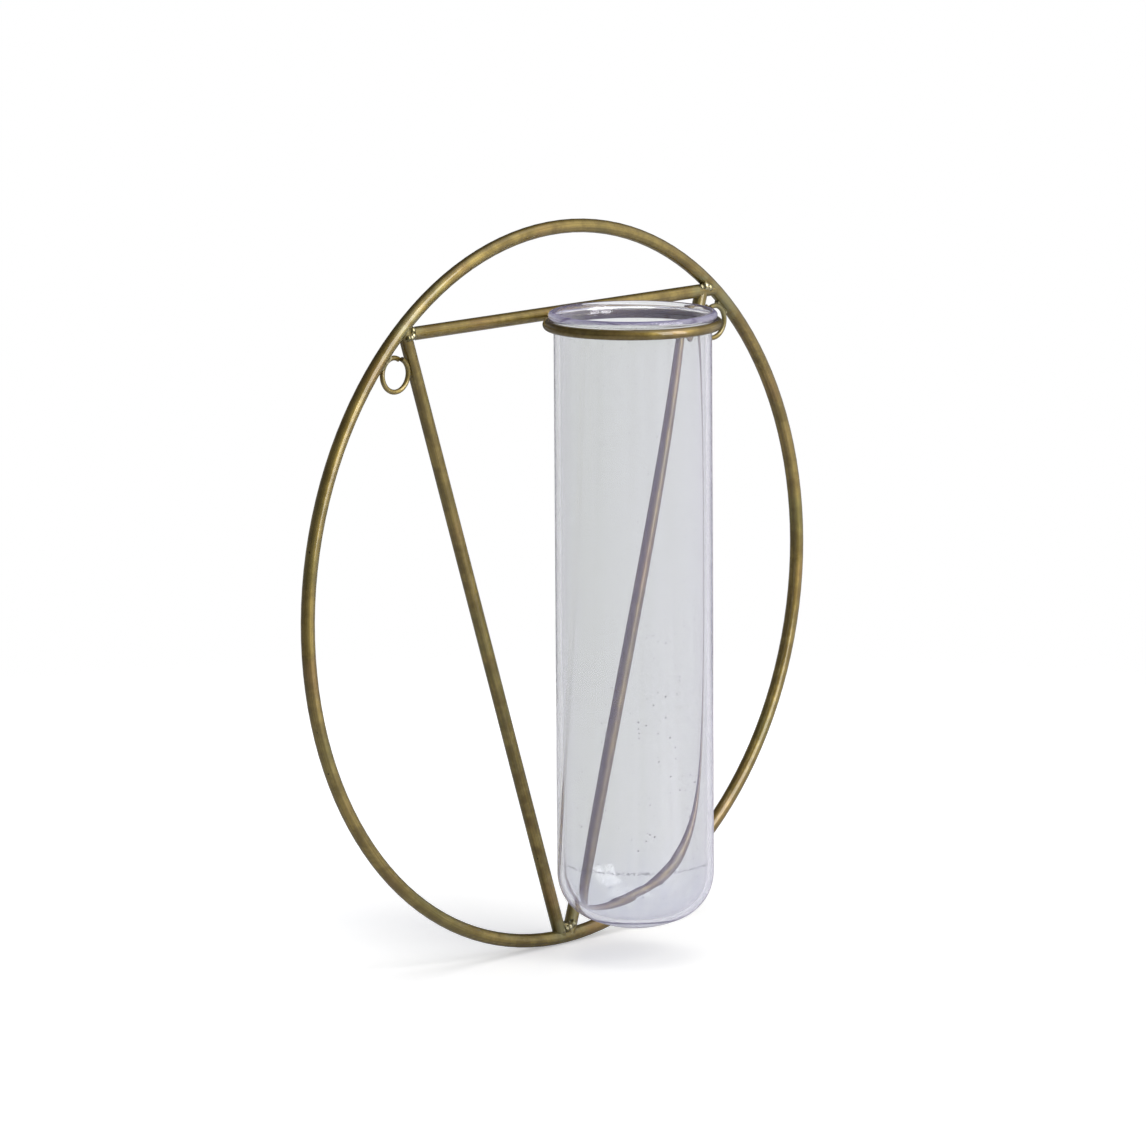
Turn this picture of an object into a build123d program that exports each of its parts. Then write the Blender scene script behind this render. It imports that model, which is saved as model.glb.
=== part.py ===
from build123d import *
import os
from math import acos, asin, atan2, copysign, cos, degrees, radians, sin, sqrt

os.makedirs("parts", exist_ok=True)

# Hanging wall vase: brazed brass rods form a hoop with a V inside it, and a wire collar
# on the crossbar holds a lipped glass tube in front of the hoop. Sizes are millimetres.
# +Z is up, the wall is the plane y = 0, the room is at -Y, and the origin lies on the
# wall behind the hoop's centre.

# Hoop and the rods inside it
hoop_radius = 115.0          # centreline
hoop_wire_radius = 2.2
rod_radius = 2.15
crossbar_height = 87.8       # above the hoop's centre
crossbar_left_end = -66.0    # on the bar's centreline, short of the left leg
crossbar_end_bevel = 40.0    # degrees by which the cut at that end turns to the wall
left_leg_top = -70.4         # where the legs' centrelines pass the crossbar's height
right_leg_top = 68.3
left_leg_foot = -1.0         # where they end on the hoop's centreline
right_leg_foot = 2.6

# Glass tube, a 50 mm test tube with a rolled lip and a shallow round bottom
tube_radius = 25.0
tube_wall = 2.0
tube_length = 198.1
knuckle_radius = 16.0        # outside curve from the side into the bottom
dome_depth = 18.0            # height of the rounded bottom
lip_radius = 26.8            # widest part of the lip
lip_bead_radius = 1.25       # rounded edge of the lip

# Wire collar that the tube hangs in
collar_wire_radius = 1.65
collar_aside = 1.5           # to the right of the hoop's centre
collar_drop = 1.3            # below the crossbar
fit_gap = 0.2                # between the collar's wire and the glass

# Hanging eyelets, each one turn of thin wire
eyelet_outer_radius = 6.1
eyelet_wire_radius = 0.8
eyelet_pitch = 1.85          # the turn climbs this much, so that its ends lie side by side
eyelet_start = 24.0          # degrees from straight up to the front end, towards the leg
eyelet_turn = 366.0          # degrees of wire in one eyelet

# Braze metal. A drop is its centre, measured across, in front of the hoop's middle plane
# and up, and its radius.
braze_gap = 0.12             # between the parts that it joins
left_joint_drops = (
    ((-67.8, 0.6, 88.9), 1.3),
    ((-68.0, 0.9, 87.3), 1.35),
    ((-69.4, 1.7, 86.9), 1.0),
    ((-70.8, 1.9, 86.9), 1.05),
)
right_joint_drops = (
    ((66.7, 1.3, 89.2), 1.05),
    ((68.6, 1.4, 89.4), 1.5),
    ((70.4, 1.4, 88.8), 1.4),
)
foot_drops = (
    ((-1.5, 1.5, -112.8), 0.9),
    ((0.1, 1.4, -112.5), 1.1),
    ((1.6, 1.6, -111.9), 1.1),
    ((2.9, 1.9, -110.9), 1.3),
)
foot_web_top = -109.2
foot_web_half_width = 3.6
foot_web_hollow = -110.6     # lowest point of the web's upper edge
web_half_thickness = 1.2
collar_bead_length = 13.0
collar_bead_height = 1.9
eyelet_bead_length = 6.0
eyelet_bead_width = 1.5

hoop_y = -hoop_wire_radius
collar_radius = tube_radius + fit_gap + collar_wire_radius
collar_height = crossbar_height - collar_drop
collar_reach = sqrt((rod_radius + collar_wire_radius + braze_gap) ** 2 - collar_drop**2)
collar_y = hoop_y - collar_reach - collar_radius

hoop_plane = Plane(origin=(0, hoop_y, 0), x_dir=(1, 0, 0), z_dir=(0, -1, 0))
tube_plane = Plane(origin=(collar_aside, collar_y, 0), x_dir=(1, 0, 0), z_dir=(0, -1, 0))
tube_axis = Axis((collar_aside, collar_y, 0), (0, 0, 1))


def in_hoop_plane(point):
    """Place a point of the hoop's plane, given as across and up, in the part's frame."""
    return Vector(point.X, hoop_y, point.Y)


def leg_line(top, foot):
    """Lower end, direction and length of a leg's centreline, a chord of the hoop."""
    start = Vector(foot, -sqrt(hoop_radius**2 - foot**2))
    slope = (Vector(top, crossbar_height) - start).normalized()
    return start, slope, -2 * start.dot(slope)


def leg_plane(start, slope):
    """Plane square to a leg at its lower end."""
    return Plane(origin=in_hoop_plane(start), z_dir=(slope.X, 0, slope.Y))


def eyelet_spot(start, slope):
    """Centre of an eyelet in the corner where it reaches both the hoop and a leg's side."""
    outward = Vector(slope.Y, -slope.X) * copysign(1, slope.X)
    base = start + outward * (rod_radius + eyelet_outer_radius + braze_gap)
    reach = hoop_radius - hoop_wire_radius - eyelet_outer_radius - braze_gap
    along = base.dot(slope)
    return base + slope * (sqrt(along**2 - base.dot(base) + reach**2) - along)


def coil_plane(centre, start_angle):
    """Plane at the front of an eyelet's coil, with its x axis towards the wire's end."""
    front = in_hoop_plane(centre) - Vector(0, eyelet_height / 2, 0)
    end = (sin(radians(start_angle)), 0, cos(radians(start_angle)))
    return Plane(origin=front, x_dir=end, z_dir=(0, 1, 0))


def braze_drops(drops):
    """Drops of braze that ran together, each a sphere with its poles to the sides."""
    with BuildPart() as run:
        for (across, out, up), radius in drops:
            with Locations((across, hoop_y - out, up)):
                Sphere(radius, rotation=(0, 90, 0))
    return run.part


def eyelet_bead(centre):
    """Bead along the line where an eyelet comes closest to the hoop."""
    spot = centre + centre.normalized() * (eyelet_outer_radius + braze_gap / 2)
    along = degrees(atan2(centre.Y, centre.X)) + 90
    with BuildPart() as bead:
        with BuildSketch(hoop_plane):
            with Locations((spot.X, spot.Y)):
                SlotOverall(eyelet_bead_length, eyelet_bead_width, rotation=along)
        extrude(amount=eyelet_wire_radius, both=True)
    return bead.part


# Hoop: a ring of round rod against the wall
with BuildPart() as hoop:
    with BuildSketch(Plane.XY):
        with Locations((hoop_radius, hoop_y)):
            Circle(hoop_wire_radius)
    revolve(axis=Axis.Y)
hoop.part.label = "hoop"

# Crossbar: its right end is coped to the hoop and its left end is cut on a bevel
bevel = radians(crossbar_end_bevel)
bar_end_plane = Plane(
    origin=(crossbar_left_end, hoop_y, crossbar_height),
    z_dir=(-cos(bevel), sin(bevel), 0),
)
with BuildPart() as crossbar:
    with BuildSketch(Plane.YZ.offset(left_leg_top)):
        with Locations((hoop_y, crossbar_height)):
            Circle(rod_radius)
    extrude(amount=sqrt(hoop_radius**2 - crossbar_height**2) - left_leg_top)
    split(bisect_by=bar_end_plane, keep=Keep.BOTTOM)
    add(hoop.part, mode=Mode.SUBTRACT)
crossbar.part.label = "crossbar"

# Left leg: coped to the hoop at both ends and mitred against the right leg
left_start, left_slope, left_length = leg_line(left_leg_top, left_leg_foot)
mitre_plane = Plane.YZ.offset((left_leg_foot + right_leg_foot) / 2)
with BuildPart() as left_leg:
    with BuildSketch(leg_plane(left_start, left_slope)):
        Circle(rod_radius)
    extrude(amount=left_length)
    split(bisect_by=mitre_plane, keep=Keep.BOTTOM)
    add(hoop.part, mode=Mode.SUBTRACT)
left_leg.part.label = "left_leg"

# Right leg: its foot is coped to the hoop and its top to the crossbar's underside
right_start, right_slope, right_length = leg_line(right_leg_top, right_leg_foot)
with BuildPart() as right_leg:
    with BuildSketch(leg_plane(right_start, right_slope)):
        Circle(rod_radius)
    extrude(amount=right_length)
    split(bisect_by=mitre_plane, keep=Keep.TOP)
    split(bisect_by=Plane.XY.offset(crossbar_height), keep=Keep.BOTTOM)
    for rod in (hoop, crossbar):
        add(rod.part, mode=Mode.SUBTRACT)
right_leg.part.label = "right_leg"

# Collar: a closed ring of thinner wire in front of the crossbar
with BuildPart() as collar:
    with BuildSketch(tube_plane):
        with Locations((collar_radius, collar_height)):
            Circle(collar_wire_radius)
    revolve(axis=tube_axis)
collar.part.label = "collar"

# Eyelets: one sprung turn of wire in each upper corner, between the hoop and a leg
eyelet_radius = eyelet_outer_radius - eyelet_wire_radius
eyelet_height = eyelet_pitch * eyelet_turn / 360
left_eyelet_centre = eyelet_spot(left_start, left_slope)
right_eyelet_centre = eyelet_spot(right_start, right_slope)

with BuildPart() as eyelet_coil:
    with BuildLine() as turn:
        Helix(pitch=eyelet_pitch, height=eyelet_height, radius=eyelet_radius)
    with BuildSketch(Plane(origin=turn.line @ 0, z_dir=turn.line % 0)):
        Circle(eyelet_wire_radius)
    sweep(path=turn.line, is_frenet=True)

with BuildPart(coil_plane(left_eyelet_centre, eyelet_start)) as left_eyelet:
    add(eyelet_coil.part)
left_eyelet.part.label = "left_eyelet"

with BuildPart(coil_plane(right_eyelet_centre, -eyelet_start)) as right_eyelet:
    add(eyelet_coil.part)
right_eyelet.part.label = "right_eyelet"

# Glass tube: its lip rests on the collar and its bottom is a crown arc between two knuckles
crown_radius = (dome_depth**2 + (tube_radius - knuckle_radius) ** 2 - knuckle_radius**2) / (
    2 * (dome_depth - knuckle_radius)
)
crown_angle = degrees(asin((tube_radius - knuckle_radius) / (crown_radius - knuckle_radius)))
flare_radius = collar_wire_radius + fit_gap
bead_across = lip_radius - lip_bead_radius
flare_angle = degrees(acos((collar_radius - bead_across) / (flare_radius + lip_bead_radius)))
bead_up = sqrt((flare_radius + lip_bead_radius) ** 2 - (collar_radius - bead_across) ** 2)
bead_in = bead_across - tube_radius + tube_wall
mouth_radius = (bead_in**2 + bead_up**2 - lip_bead_radius**2) / (2 * (bead_in - lip_bead_radius))
mouth_angle = degrees(atan2(bead_up, mouth_radius - bead_in))
lip_top = collar_height + bead_up + lip_bead_radius
tube_bottom = lip_top - tube_length
side_bottom = tube_bottom + dome_depth

with BuildPart() as glass_tube:
    with BuildSketch(tube_plane):
        with BuildLine():
            crown = JernArc((0, tube_bottom), (1, 0), crown_radius, crown_angle)
            JernArc(crown @ 1, crown % 1, knuckle_radius, 90 - crown_angle)
            side = Line((tube_radius, side_bottom), (tube_radius, collar_height))
            flare = JernArc(side @ 1, side % 1, flare_radius, -flare_angle)
            bead = JernArc(flare @ 1, flare % 1, lip_bead_radius, 180 + flare_angle - mouth_angle)
            mouth = JernArc(bead @ 1, bead % 1, mouth_radius, mouth_angle)
            bore = Line(mouth @ 1, (tube_radius - tube_wall, side_bottom))
            knuckle = JernArc(bore @ 1, bore % 1, knuckle_radius - tube_wall, crown_angle - 90)
            JernArc(knuckle @ 1, knuckle % 1, crown_radius - tube_wall, -crown_angle)
            Line((0, tube_bottom + tube_wall), (0, tube_bottom))
        make_face()
    revolve(axis=tube_axis)
glass_tube.part.label = "glass_tube"

# Left joint: drops that fill the wedge between the crossbar's end and the leg
with BuildPart() as left_joint_braze:
    add(braze_drops(left_joint_drops))
    for rod in (hoop, crossbar, left_leg):
        add(rod.part, mode=Mode.SUBTRACT)
left_joint_braze.part.label = "left_joint_braze"

# Right joint: drops in the front of the corner between the crossbar and the hoop
with BuildPart() as right_joint_braze:
    add(braze_drops(right_joint_drops))
    for rod in (hoop, crossbar):
        add(rod.part, mode=Mode.SUBTRACT)
right_joint_braze.part.label = "right_joint_braze"

# Foot: a web with a hollow upper edge in the V of the legs, and drops across its front
legs_middle = mitre_plane.origin.X
left_corner = (legs_middle - foot_web_half_width, foot_web_top)
right_corner = (legs_middle + foot_web_half_width, foot_web_top)
with BuildPart() as foot_web:
    with BuildSketch(hoop_plane):
        with BuildLine():
            Polyline(left_corner, (legs_middle, -hoop_radius), right_corner)
            ThreePointArc(right_corner, (legs_middle, foot_web_hollow), left_corner)
        make_face()
    extrude(amount=web_half_thickness, both=True)

with BuildPart() as foot_braze:
    add(foot_web.part)
    add(braze_drops(foot_drops))
    for rod in (hoop, left_leg, right_leg):
        add(rod.part, mode=Mode.SUBTRACT)
foot_braze.part.label = "foot_braze"

# Collar joint: a bead along the line where the collar passes closest to the crossbar
with BuildPart() as collar_braze:
    with BuildSketch(Plane.XY.offset(crossbar_height - collar_drop / 2)):
        with Locations((collar_aside, hoop_y - collar_reach / 2)):
            SlotOverall(collar_bead_length, collar_reach)
    extrude(amount=collar_bead_height / 2, both=True)
    for rod in (crossbar, collar):
        add(rod.part, mode=Mode.SUBTRACT)
collar_braze.part.label = "collar_braze"

# Eyelet joints
with BuildPart() as left_eyelet_braze:
    add(eyelet_bead(left_eyelet_centre))
    for rod in (hoop, left_eyelet):
        add(rod.part, mode=Mode.SUBTRACT)
left_eyelet_braze.part.label = "left_eyelet_braze"

with BuildPart() as right_eyelet_braze:
    add(eyelet_bead(right_eyelet_centre))
    for rod in (hoop, right_eyelet):
        add(rod.part, mode=Mode.SUBTRACT)
right_eyelet_braze.part.label = "right_eyelet_braze"

pieces = (
    hoop, crossbar, left_leg, right_leg, collar, left_eyelet, right_eyelet, glass_tube,
    left_joint_braze, right_joint_braze, foot_braze, collar_braze,
    left_eyelet_braze, right_eyelet_braze,
)
for piece in pieces:
    export_step(piece.part, f"parts/{piece.part.label}.step")
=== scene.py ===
from math import acos, asin, atan2, cos, pi, radians, sin, sqrt

import bpy
from mathutils import Matrix, Vector


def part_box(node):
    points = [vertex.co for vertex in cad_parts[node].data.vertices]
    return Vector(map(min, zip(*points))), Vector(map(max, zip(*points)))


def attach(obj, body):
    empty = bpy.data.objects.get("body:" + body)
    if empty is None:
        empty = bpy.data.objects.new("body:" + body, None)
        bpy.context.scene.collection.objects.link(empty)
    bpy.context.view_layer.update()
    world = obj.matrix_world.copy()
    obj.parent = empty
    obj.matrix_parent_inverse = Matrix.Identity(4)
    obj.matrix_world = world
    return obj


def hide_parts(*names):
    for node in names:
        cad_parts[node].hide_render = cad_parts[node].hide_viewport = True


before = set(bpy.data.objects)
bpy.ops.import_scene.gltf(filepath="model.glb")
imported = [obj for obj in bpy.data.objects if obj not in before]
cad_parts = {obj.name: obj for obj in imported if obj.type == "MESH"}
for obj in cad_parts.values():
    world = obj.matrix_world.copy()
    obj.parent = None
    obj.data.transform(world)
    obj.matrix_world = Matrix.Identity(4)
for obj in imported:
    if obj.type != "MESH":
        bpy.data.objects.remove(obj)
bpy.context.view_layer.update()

# Hanging wall vase in the frame of the CAD model: metres, +Z up, wall at y = 0, room at -Y.

# The photograph's camera, fitted to the hoop, the crossbar and the collar
photo_pixels = 1146
focal_pixels = 7911.89
camera_azimuth = radians(-47.268)
camera_elevation = radians(9.494)
camera_roll = radians(-0.376)
camera_distance = 2.53
camera_aside = 0.00406       # how far the view's middle lies from the hoop's centre
camera_above = 0.00359
sensor_width = 36.0

# Glass tube, as in the CAD model
tube_radius = 0.025
tube_wall = 0.002
knuckle_radius = 0.016       # outside curve from the side into the bottom
dome_depth = 0.018           # height of the rounded bottom
lip_bead_radius = 0.00125
fit_gap = 0.0002             # between the collar's wire and the glass
tube_sides = 192             # flats round the smooth tube
crown_steps = 24             # points along each arc of its section
knuckle_steps = 36
flare_steps = 14
bead_steps = 28
mouth_steps = 14

# Glass, as it looks
glass_ior = 1.47
glass_tint = (0.860, 0.878, 0.840, 1)
bottom_tint = (0.814, 0.838, 0.842, 1)
streak_tint = (0.888, 0.903, 0.877, 1)
mark_tint = (0.02, 0.016, 0.026, 1)
sheen_tint = (0.54, 0.42, 1.0, 1)
shadow_tint = (0.81, 0.815, 0.84, 1)
body_tint = (0.60, 0.60, 0.70, 1)
bottom_from, bottom_full = -0.078, -0.098    # heights where the bottom's tint begins and is full
water_line = -0.0857         # height of the dried water's edge on the tube
line_fade, line_core = 0.0006, 0.0002        # distances from it where the mark ends and is full
line_strength = 0.45
last_bounce = 4.5            # a ray with more bounces than this goes straight on

# Brass, its patina and the braze metal
brass_dark = (0.205, 0.145, 0.032, 1)
brass_light = (0.335, 0.248, 0.066, 1)
brass_brown = (0.310, 0.186, 0.062, 1)
brass_green = (0.205, 0.185, 0.052, 1)
streak_brown = (0.125, 0.088, 0.026, 1)
# painted shade for the collar's side that faces the glass
painted_shade_brown = (0.036, 0.024, 0.014, 1)
joint_grey = (0.205, 0.220, 0.125, 1)
spot_brown = (0.055, 0.036, 0.013, 1)
braze_film = (0.165, 0.142, 0.056, 1)
braze_bright = (0.47, 0.42, 0.26, 1)
joint_fade, joint_core = 0.010, 0.003        # distances from a joint where the grey ends and is full

# How often the streaks change, along the wire and across it
hoop_grain = (12, 2200)
rod_grain = (30, 2200)
collar_grain = (25, 2600)
eyelet_grain = (60, 3200)

# Sockets of the Mix node that carry colours
mix_first, mix_second, mix_result = 6, 7, 2

# Sizes read from the CAD nodes
hoop_low, hoop_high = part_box("hoop")
hoop_centre = (hoop_low + hoop_high) / 2
floor_height = hoop_low.z
collar_low, collar_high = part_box("collar")
collar_centre = (collar_low + collar_high) / 2
collar_wire_radius = (collar_high.z - collar_low.z) / 2
collar_radius = (collar_high.x - collar_low.x) / 2 - collar_wire_radius
tube_low, tube_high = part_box("glass_tube")
lip_radius = (tube_high.x - tube_low.x) / 2


def add_node(tree, kind, inputs=(), **settings):
    """Add a shader node, set its options, and fill its inputs with values or links."""
    made = tree.nodes.new("ShaderNode" + kind)
    for name, value in settings.items():
        setattr(made, name, value)
    for key, value in dict(inputs).items():
        socket = made.inputs[key]
        if isinstance(value, bpy.types.NodeSocket):
            tree.links.new(value, socket)
        else:
            socket.default_value = value
    return made


def maths(tree, operation, *values):
    """Result of one Math node on values or sockets."""
    return add_node(tree, "Math", dict(enumerate(values)), operation=operation).outputs[0]


def vector_maths(tree, operation, *values):
    """Result of one Vector Math node on vectors or sockets."""
    made = add_node(tree, "VectorMath", dict(enumerate(values)), operation=operation)
    lengths = ("LENGTH", "DISTANCE", "DOT_PRODUCT")
    return made.outputs["Value" if operation in lengths else "Vector"]


def blend_colour(tree, factor, first, second):
    """Colour Mix node between two colours, each a value or a socket."""
    inputs = {"Factor": factor, mix_first: first, mix_second: second}
    return add_node(tree, "Mix", inputs, data_type="RGBA").outputs[mix_result]


def step_range(tree, value, low, high, to_low=0.0, to_high=1.0):
    """Smooth step of a value from low to high."""
    inputs = {
        "Value": value, "From Min": low, "From Max": high,
        "To Min": to_low, "To Max": to_high,
    }
    made = add_node(tree, "MapRange", inputs, interpolation_type="SMOOTHSTEP")
    return made.outputs["Result"]


def noise(tree, vector, scale, detail=3.0, roughness=0.55, w=None):
    """Noise from 0 to 1, in four dimensions where w is given."""
    inputs = {"Vector": vector, "Scale": scale, "Detail": detail, "Roughness": roughness}
    if w is not None:
        inputs["W"] = w
    dimensions = "3D" if w is None else "4D"
    return add_node(tree, "TexNoise", inputs, noise_dimensions=dimensions).outputs[0]


def object_place(tree):
    """Place on the piece, in metres."""
    return tree.nodes.new("ShaderNodeTexCoord").outputs["Object"]


def new_material(name):
    """Empty node material with its tree and output node."""
    material = bpy.data.materials.new(name)
    material.use_nodes = True
    material.node_tree.nodes.clear()
    output = material.node_tree.nodes.new("ShaderNodeOutputMaterial")
    return material, material.node_tree, output


def dress(piece, material):
    """Give a piece one material, in place of what it had."""
    piece.data.materials.clear()
    piece.data.materials.append(material)


# Camera
back = Vector((
    sin(camera_azimuth) * cos(camera_elevation),
    -cos(camera_azimuth) * cos(camera_elevation),
    sin(camera_elevation),
))
level_right = Vector((cos(camera_azimuth), sin(camera_azimuth), 0.0))
level_front = Vector((sin(camera_azimuth), -cos(camera_azimuth), 0.0))
level_up = back.cross(level_right)
view_right = level_right * cos(camera_roll) + level_up * sin(camera_roll)
view_up = level_up * cos(camera_roll) - level_right * sin(camera_roll)
turn = Matrix((view_right, view_up, back)).transposed().to_4x4()
place = hoop_centre + back * camera_distance + view_right * camera_aside + view_up * camera_above

camera_data = bpy.data.cameras.new("photo_camera")
camera_data.sensor_width = sensor_width
camera_data.lens = focal_pixels / photo_pixels * sensor_width
camera = bpy.data.objects.new("photo_camera", camera_data)
camera.matrix_world = Matrix.Translation(place) @ turn
bpy.context.scene.collection.objects.link(camera)
bpy.context.scene.camera = camera


# Studio
lamp_distance = 1.3
pane_azimuth = 54.0          # degrees to the right of the camera, to the middle of both panes
pane_turn = 9.8              # from that middle to each pane
pane_elevation = 26.0
pane_width, pane_height, pane_radiance = 0.36, 1.25, 5.6
top_azimuth, top_elevation = 90.0, 82.0
top_side, top_radiance = 1.0, 3.0


def softbox(name, azimuth, elevation, width, height, radiance):
    """Area lamp that faces the vase, placed by degrees to the right of the camera and up."""
    bearing = camera_azimuth + radians(azimuth)
    elevation = radians(elevation)
    outward = Vector((
        sin(bearing) * cos(elevation), -cos(bearing) * cos(elevation), sin(elevation),
    ))
    data = bpy.data.lights.new(name, "AREA")
    data.shape = "RECTANGLE"
    data.size, data.size_y = width, height
    data.energy = radiance * pi * width * height
    lamp = bpy.data.objects.new(name, data)
    lamp.location = hoop_centre + outward * lamp_distance
    lamp.rotation_mode = "QUATERNION"
    lamp.rotation_quaternion = outward.to_track_quat("Z", "Y")
    bpy.context.scene.collection.objects.link(lamp)
    return lamp


for side, name in ((-1, "left_pane"), (1, "right_pane")):
    azimuth = pane_azimuth + side * pane_turn
    softbox(name, azimuth, pane_elevation, pane_width, pane_height, pane_radiance)
top = softbox("top_softbox", top_azimuth, top_elevation, top_side, top_side, top_radiance)
top.visible_glossy = False   # the world's overhead light takes its place in the metal


room_radiance = 0.09         # of the unlit room, as the metal mirrors it
ambient_radiance = 0.22      # of the light that the world adds to dull surfaces
overhead_up, overhead_right = 0.91, 0.42


def make_world():
    """Studio as the metal mirrors it: bright on the right and overhead, dim elsewhere.

    The camera sees a white backdrop, straight through the air and through the glass.
    """
    world = bpy.data.worlds.new("studio")
    bpy.context.scene.world = world
    world.use_nodes = True
    tree = world.node_tree
    tree.nodes.clear()
    output = tree.nodes.new("ShaderNodeOutputWorld")
    path = tree.nodes.new("ShaderNodeLightPath").outputs
    direction = tree.nodes.new("ShaderNodeTexCoord").outputs["Generated"]
    rightwards = vector_maths(tree, "DOT_PRODUCT", direction, tuple(level_right))
    frontwards = vector_maths(tree, "DOT_PRODUCT", direction, tuple(level_front))
    upwards = add_node(tree, "SeparateXYZ", {0: direction}).outputs["Z"]
    up_part = maths(tree, "MULTIPLY", upwards, overhead_up)
    right_part = maths(tree, "MULTIPLY", rightwards, overhead_right)
    overhead = maths(tree, "ADD", up_part, right_part)
    far_corner = vector_maths(
        tree, "DOT_PRODUCT", direction, tuple((-level_right - level_front).normalized())
    )
    room = room_radiance
    # Each light: the measure of direction, where it begins and is full, and its radiance
    for share, low, high, light in (
        (far_corner, 0.88, 0.97, 0.35),
        (frontwards, -0.30, 0.30, 0.07),
        (rightwards, 0.30, 0.90, 0.80),
        (rightwards, -0.75, -0.98, 0.18),
        (frontwards, 0.86, 0.99, 0.18),
        (overhead, 0.82, 0.96, 0.95),
    ):
        room = maths(tree, "ADD", room, step_range(tree, share, low, high, 0.0, light))
    ambient = add_node(tree, "Background", {"Color": (1, 1, 1, 1), "Strength": ambient_radiance})
    mirrored = add_node(tree, "Background", {"Color": (1, 1, 1, 1), "Strength": room})
    white = add_node(tree, "Background", {"Color": (1, 1, 1, 1), "Strength": 1.0})
    layers = ambient
    rays = (("Is Glossy Ray", mirrored), ("Is Transmission Ray", white), ("Is Camera Ray", white))
    for ray, light in rays:
        inputs = {0: path[ray], 1: layers.outputs[0], 2: light.outputs[0]}
        layers = add_node(tree, "MixShader", inputs)
    tree.links.new(layers.outputs[0], output.inputs["Surface"])


make_world()

floor_half = 0.55
floor_albedo = 0.9
mirrored_albedo = 0.6        # as the metal and the glass mirror the table
fade_from, fade_to = 0.34, 0.54              # distances from the vase where the table fades out


def make_floor():
    """White table top: a glow shows it white to the camera, less the vase's shadow near its base;
    further out and to the left the glow is painted light that fills that shadow in.
    """
    corners = [(-1, -1), (1, -1), (1, 1), (-1, 1)]
    mesh = bpy.data.meshes.new("floor")
    mesh.from_pydata(
        [(x * floor_half, y * floor_half, floor_height) for x, y in corners], [], [(0, 1, 2, 3)]
    )
    floor = bpy.data.objects.new("floor", mesh)
    bpy.context.scene.collection.objects.link(floor)
    material, tree, output = new_material("white_table")
    path = tree.nodes.new("ShaderNodeLightPath").outputs
    away = vector_maths(
        tree, "DISTANCE", object_place(tree), (hoop_centre.x, hoop_centre.y, floor_height)
    )
    offset = vector_maths(tree, "SUBTRACT", object_place(tree), tuple(hoop_centre))
    aside = vector_maths(tree, "DOT_PRODUCT", offset, tuple(level_right))
    # Each glow: where it begins and is full, in metres, and its strength at both. The glow is painted
    # light that fills the vase's broad shadow away from its base, and the left one also where the
    # panes cast it to the left.
    near_glow = step_range(tree, away, 0.03, 0.15, 0.33, 0.44)
    far_glow = step_range(tree, away, 0.25, 0.50, 0.0, 0.3)
    # painted light over the shadow that the panes cast to the left of the vase
    left_shadow_fill = step_range(tree, aside, -0.03, -0.10, 0.0, 0.10)
    glow = maths(tree, "ADD", maths(tree, "ADD", near_glow, far_glow), left_shadow_fill)
    pale = (floor_albedo, floor_albedo, floor_albedo, 1)
    dim = (mirrored_albedo, mirrored_albedo, mirrored_albedo, 1)
    surface = add_node(tree, "BsdfPrincipled", {
        "Base Color": blend_colour(tree, path["Is Glossy Ray"], pale, dim), "Roughness": 0.3,
        "Specular IOR Level": 0.25, "Emission Color": (1, 1, 1, 1),
        "Emission Strength": maths(tree, "MULTIPLY", glow, path["Is Camera Ray"]),
    })
    white = add_node(tree, "Emission", {"Color": (1, 1, 1, 1), "Strength": 1.0})
    seen = add_node(
        tree, "MixShader", {0: path["Is Transmission Ray"], 1: surface.outputs[0], 2: white.outputs[0]}
    )
    clear = add_node(tree, "BsdfTransparent", {"Color": (1, 1, 1, 1)})
    edge = step_range(tree, away, fade_from, fade_to)
    faded = add_node(tree, "MixShader", {0: edge, 1: seen.outputs[0], 2: clear.outputs[0]})
    tree.links.new(faded.outputs[0], output.inputs["Surface"])
    dress(floor, material)


make_floor()


# Glass tube
def arc(centre, radius, start, end, count):
    """Points of an arc in the tube's section, from one angle to another."""
    steps = [start + (end - start) * i / count for i in range(count + 1)]
    return [(centre[0] + radius * cos(a), centre[1] + radius * sin(a)) for a in steps]


def tube_section():
    """Section of the tube from the middle of its bottom up the outside and down the bore."""
    shoulder = tube_radius - knuckle_radius
    crown_radius = (dome_depth**2 + shoulder**2 - knuckle_radius**2) / (
        2 * (dome_depth - knuckle_radius)
    )
    crown_angle = asin(shoulder / (crown_radius - knuckle_radius))
    crown_centre = (0.0, tube_low.z + crown_radius)
    side_bottom = tube_low.z + dome_depth
    knuckle_centre = (shoulder, side_bottom)
    flare_centre = (collar_radius, collar_centre.z)
    flare_radius = collar_wire_radius + fit_gap
    reach = flare_radius + lip_bead_radius
    bead_across = lip_radius - lip_bead_radius
    flare_angle = acos((collar_radius - bead_across) / reach)
    bead_up = sqrt(reach**2 - (collar_radius - bead_across) ** 2)
    bead_centre = (bead_across, collar_centre.z + bead_up)
    bead_in = bead_across - tube_radius + tube_wall
    mouth_radius = (bead_in**2 + bead_up**2 - lip_bead_radius**2) / (
        2 * (bead_in - lip_bead_radius)
    )
    mouth_angle = pi - atan2(bead_up, mouth_radius - bead_in)
    mouth_offset = lip_bead_radius - mouth_radius
    mouth_centre = (
        bead_centre[0] + mouth_offset * cos(mouth_angle),
        bead_centre[1] + mouth_offset * sin(mouth_angle),
    )
    down = -pi / 2
    turn_angle = down + crown_angle
    outside = arc(crown_centre, crown_radius, down, turn_angle, crown_steps)
    outside += arc(knuckle_centre, knuckle_radius, turn_angle, 0.0, knuckle_steps)[1:]
    outside += arc(flare_centre, flare_radius, pi, pi - flare_angle, flare_steps)
    outside += arc(bead_centre, lip_bead_radius, -flare_angle, mouth_angle, bead_steps)[1:]
    outside += arc(mouth_centre, mouth_radius, mouth_angle, pi, mouth_steps)[1:]
    inside = arc(knuckle_centre, knuckle_radius - tube_wall, 0.0, turn_angle, knuckle_steps)
    inside += arc(crown_centre, crown_radius - tube_wall, turn_angle, down, crown_steps)[1:]
    return outside + inside


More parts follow.
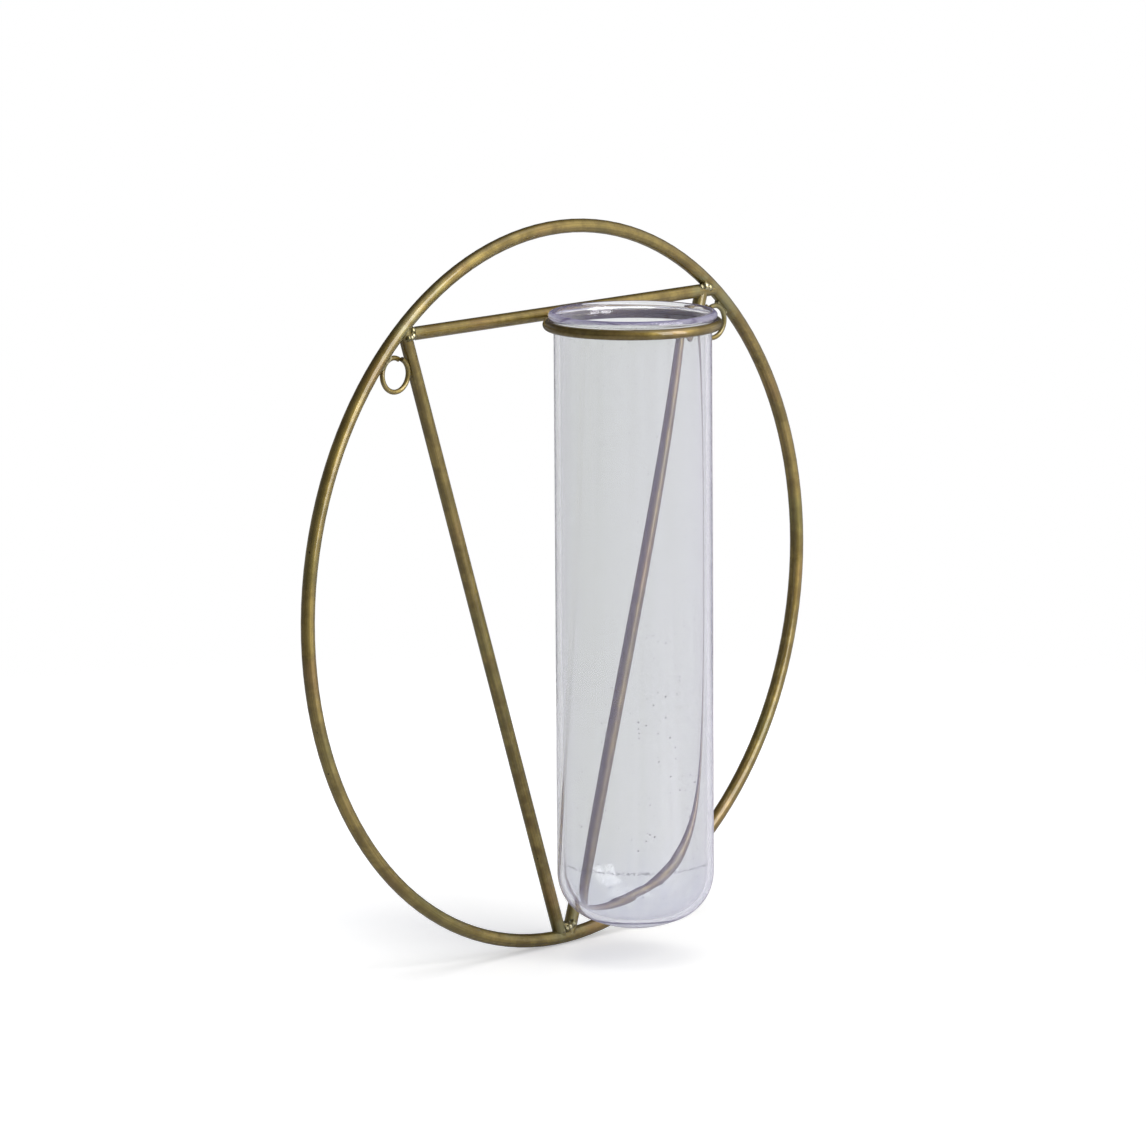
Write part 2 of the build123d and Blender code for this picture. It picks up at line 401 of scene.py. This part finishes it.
def make_tube():
    """Smooth glass tube: the section is turned about the tube's axis, and closed at its poles."""
    section = tube_section()
    first, last = section[0], section[-1]
    points, faces = [], []
    for radius, height in section[1:-1]:
        for i in range(tube_sides):
            angle = 2 * pi * i / tube_sides
            points.append((
                collar_centre.x + radius * cos(angle), collar_centre.y + radius * sin(angle), height,
            ))
    rings = len(section) - 2
    for ring in range(rings - 1):
        for i in range(tube_sides):
            j = (i + 1) % tube_sides
            low, high = ring * tube_sides, (ring + 1) * tube_sides
            faces.append((low + i, low + j, high + j, high + i))
    outer_pole, inner_pole = len(points), len(points) + 1
    points.append((collar_centre.x, collar_centre.y, first[1]))
    points.append((collar_centre.x, collar_centre.y, last[1]))
    top_ring = (rings - 1) * tube_sides
    for i in range(tube_sides):
        j = (i + 1) % tube_sides
        faces.append((outer_pole, j, i))
        faces.append((inner_pole, top_ring + i, top_ring + j))
    mesh = bpy.data.meshes.new("blown_tube")
    mesh.from_pydata(points, [], faces)
    mesh.shade_smooth()
    tube = bpy.data.objects.new("blown_tube", mesh)
    bpy.context.scene.collection.objects.link(tube)
    return tube


# Materials
def ring_streaks(tree, centre, axis, along, across):
    """Noise drawn out round a ring, as the drawing die leaves it on bent wire."""
    offset = vector_maths(tree, "SUBTRACT", object_place(tree), tuple(centre))
    parts = add_node(tree, "SeparateXYZ", {0: offset}).outputs
    first, second = (parts["X"], parts["Z"]) if axis == "Y" else (parts["X"], parts["Y"])
    flat = add_node(tree, "CombineXYZ", {0: first, 1: second}).outputs[0]
    radius = vector_maths(tree, "LENGTH", flat)
    stretched = add_node(tree, "CombineXYZ", {
        0: maths(tree, "MULTIPLY", first, along),
        1: maths(tree, "MULTIPLY", second, along),
        2: maths(tree, "MULTIPLY", radius, across),
    }).outputs[0]
    return noise(tree, stretched, 1.0, w=maths(tree, "MULTIPLY", parts[axis], across))


def rod_streaks(tree, lean, along, across):
    """Noise drawn out along a straight rod that leans from +Z towards +X by an angle."""
    turned = add_node(tree, "Mapping", {
        "Vector": object_place(tree), "Rotation": (0.0, -lean, 0.0),
    }).outputs[0]
    stretched = vector_maths(tree, "MULTIPLY", turned, (across, across, along))
    return noise(tree, stretched, 1.0)


def specks(tree, place, scale, share, size):
    """Small uneven spots at random: one for a share of the cells of a Voronoi pattern."""
    wobble = 0.25 / scale
    waves = add_node(tree, "TexNoise", {"Vector": place, "Scale": scale * 4}).outputs[1]
    shift = vector_maths(tree, "MULTIPLY", waves, (wobble, wobble, wobble))
    bent = vector_maths(tree, "ADD", place, shift)
    cells = add_node(tree, "TexVoronoi", {"Vector": bent, "Scale": scale}).outputs
    pick = add_node(tree, "SeparateColor", {0: cells["Color"]}).outputs
    reach = maths(tree, "MULTIPLY", pick[1], size)
    inside = maths(tree, "LESS_THAN", cells["Distance"], reach)
    return maths(tree, "MULTIPLY", inside, maths(tree, "GREATER_THAN", pick[0], 1.0 - share))


def aged_brass(name, streaks, joints, painted_shade=None):
    """Lacquered antique brass: mottled olive patina, drawn streaks, spots, and grey at joints."""
    material, tree, output = new_material(name)
    place = object_place(tree)
    lines = streaks(tree)
    mottle = noise(tree, place, 150, detail=4.0, roughness=0.62)
    drift = noise(tree, place, 42, detail=2.0, roughness=0.5)
    grain = noise(tree, place, 1800, detail=2.0, roughness=0.6)
    olive = blend_colour(tree, step_range(tree, mottle, 0.36, 0.66), brass_dark, brass_light)
    olive = blend_colour(tree, step_range(tree, drift, 0.52, 0.70, 0.0, 0.6), olive, brass_brown)
    olive = blend_colour(tree, step_range(tree, drift, 0.47, 0.30, 0.0, 0.6), olive, brass_green)
    olive = blend_colour(tree, step_range(tree, lines, 0.35, 0.65, 0.5, 0.0), olive, streak_brown)
    # Painted shade: darkens the collar towards near black where it faces the glass
    if painted_shade:
        olive = blend_colour(tree, painted_shade(tree), olive, painted_shade_brown)
    near_joint = None
    for joint in joints:
        distance = vector_maths(tree, "DISTANCE", place, joint)
        mask = step_range(tree, distance, joint_fade, joint_core)
        near_joint = mask if near_joint is None else maths(tree, "MAXIMUM", near_joint, mask)
    patch = maths(tree, "MULTIPLY", near_joint, step_range(tree, mottle, 0.40, 0.62, 0.0, 0.5))
    olive = blend_colour(tree, patch, olive, joint_grey)
    spots = specks(tree, place, scale=420.0, share=0.07, size=0.15)
    olive = blend_colour(tree, spots, olive, spot_brown)
    polish = step_range(tree, mottle, 0.3, 0.7, 0.60, 0.48)
    roughness = maths(tree, "ADD", polish, maths(tree, "MULTIPLY", grain, 0.08))
    line_relief = maths(tree, "MULTIPLY", lines, 0.6)
    grain_relief = maths(tree, "MULTIPLY", grain, 0.06)
    relief = maths(tree, "SUBTRACT", maths(tree, "ADD", line_relief, grain_relief), spots)
    bump = add_node(tree, "Bump", {"Height": relief, "Strength": 0.25, "Distance": 0.00004})
    surface = add_node(tree, "BsdfPrincipled", {
        "Base Color": olive, "Metallic": 1.0, "Roughness": roughness,
        "Specular Tint": (0.42, 0.34, 0.18, 1), "Normal": bump.outputs[0],
        "Coat Weight": 1.0, "Coat Roughness": 0.09, "Coat IOR": 1.53,
    })
    tree.links.new(surface.outputs[0], output.inputs["Surface"])
    return material


def inner_painted_shade(tree):
    """Share of painted shade on the collar: dark on the side of its wire that faces the glass, under
    the lip.
    """
    offset = vector_maths(tree, "SUBTRACT", object_place(tree), tuple(collar_centre))
    across = vector_maths(tree, "LENGTH", vector_maths(tree, "MULTIPLY", offset, (1.0, 1.0, 0.0)))
    clean_from, black_from = collar_radius + 0.0009, collar_radius - 0.0004
    return step_range(tree, across, clean_from, black_from, 0.10, 0.92)


def braze_metal(name):
    """Braze filler: rippled, and bright where no olive film covers it."""
    material, tree, output = new_material(name)
    place = object_place(tree)
    lumps = noise(tree, place, 620, detail=3.0, roughness=0.6)
    film = noise(tree, place, 330, detail=3.0, roughness=0.6)
    colour = blend_colour(tree, step_range(tree, film, 0.48, 0.64), braze_film, braze_bright)
    roughness = step_range(tree, lumps, 0.3, 0.7, 0.22, 0.42)
    bump = add_node(tree, "Bump", {"Height": lumps, "Strength": 0.6, "Distance": 0.00025})
    surface = add_node(tree, "BsdfPrincipled", {
        "Base Color": colour, "Metallic": 1.0, "Roughness": roughness,
        "Normal": bump.outputs[0], "Coat Weight": 0.7, "Coat Roughness": 0.12,
    })
    tree.links.new(surface.outputs[0], output.inputs["Surface"])
    return material


def smoky_glass(name):
    """Lightly tinted glass with faint streaks, specks and a dried water line near the bottom."""
    material, tree, output = new_material(name)
    place = object_place(tree)
    path = tree.nodes.new("ShaderNodeLightPath").outputs
    height = add_node(tree, "SeparateXYZ", {0: place}).outputs["Z"]
    bottom = step_range(tree, height, bottom_from, bottom_full)
    tint = blend_colour(tree, bottom, glass_tint, bottom_tint)
    offset = vector_maths(tree, "SUBTRACT", place, tuple(collar_centre))
    drawn_out = vector_maths(tree, "MULTIPLY", offset, (1.0, 1.0, 0.02))
    striae = noise(tree, drawn_out, 240.0, detail=2.0, roughness=0.6)
    tint = blend_colour(tree, step_range(tree, striae, 0.42, 0.56, 0.0, 0.55), tint, streak_tint)
    strength = step_range(tree, height, 0.01, -0.05, 0.35, 0.80)
    dust = specks(tree, place, scale=560.0, share=0.16, size=0.18)
    dust = maths(tree, "MULTIPLY", dust, strength)
    off_line = maths(tree, "ABSOLUTE", maths(tree, "SUBTRACT", height, water_line))
    room_side = vector_maths(tree, "DOT_PRODUCT", offset, tuple(level_front))
    ripple = noise(tree, place, 900.0, detail=2.0, roughness=0.5)
    broken = step_range(tree, ripple, 0.47, 0.56)
    in_front = step_range(tree, room_side, 0.002, 0.014)
    line = maths(
        tree, "MULTIPLY", step_range(tree, off_line, line_fade, line_core),
        maths(tree, "MULTIPLY", broken, in_front),
    )
    marks = maths(tree, "MAXIMUM", dust, maths(tree, "MULTIPLY", line, line_strength))
    tint = blend_colour(tree, marks, tint, mark_tint)
    surface = add_node(tree, "BsdfPrincipled", {
        "Base Color": tint, "Transmission Weight": 0.975, "IOR": glass_ior, "Roughness": 0.0,
        "Specular Tint": (0.94, 0.92, 1.0, 1),
        "Sheen Weight": 0.12, "Sheen Roughness": 1.0, "Sheen Tint": sheen_tint,
    })
    trapped = maths(tree, "GREATER_THAN", path["Ray Depth"], last_bounce)
    passed = add_node(tree, "BsdfTransparent", {
        "Color": blend_colour(tree, trapped, shadow_tint, (1, 1, 1, 1)),
    })
    unbent = maths(tree, "MAXIMUM", path["Is Shadow Ray"], path["Is Diffuse Ray"])
    open_path = maths(tree, "MAXIMUM", trapped, unbent)
    mixed = add_node(tree, "MixShader", {0: open_path, 1: surface.outputs[0], 2: passed.outputs[0]})
    tree.links.new(mixed.outputs[0], output.inputs["Surface"])
    body = add_node(tree, "VolumeAbsorption", {"Color": body_tint, "Density": 20.0})
    tree.links.new(body.outputs[0], output.inputs["Volume"])
    return material


def middle(node):
    """Middle of a CAD node's box."""
    low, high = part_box(node)
    return (low + high) / 2


def lean_of(node):
    """Angle of a straight rod from +Z towards +X, from its box less its thickness."""
    low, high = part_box(node)
    thickness = high.y - low.y
    return atan2(high.x - low.x - thickness, high.z - low.z - thickness)


joint_spots = [tuple(middle(n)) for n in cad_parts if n.endswith("_braze")]
brass_for = {
    "hoop": lambda tree: ring_streaks(tree, hoop_centre, "Y", *hoop_grain),
    "crossbar": lambda tree: rod_streaks(tree, pi / 2, *rod_grain),
    "left_leg": lambda tree: rod_streaks(tree, -lean_of("left_leg"), *rod_grain),
    "right_leg": lambda tree: rod_streaks(tree, lean_of("right_leg"), *rod_grain),
    "collar": lambda tree: ring_streaks(tree, collar_centre, "Z", *collar_grain),
    "left_eyelet": lambda tree: ring_streaks(tree, middle("left_eyelet"), "Y", *eyelet_grain),
    "right_eyelet": lambda tree: ring_streaks(tree, middle("right_eyelet"), "Y", *eyelet_grain),
}
for node, streaks in brass_for.items():
    painted_shade = inner_painted_shade if node == "collar" else None
    dress(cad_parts[node], aged_brass(f"aged_brass_{node}", streaks, joint_spots, painted_shade))

braze = braze_metal("braze_metal")
for node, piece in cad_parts.items():
    if node.endswith("_braze"):
        dress(piece, braze)

tube = make_tube()
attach(tube, "tube")
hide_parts("glass_tube")
dress(tube, smoky_glass("smoky_glass"))

scene = bpy.context.scene
scene.view_settings.view_transform = "Standard"
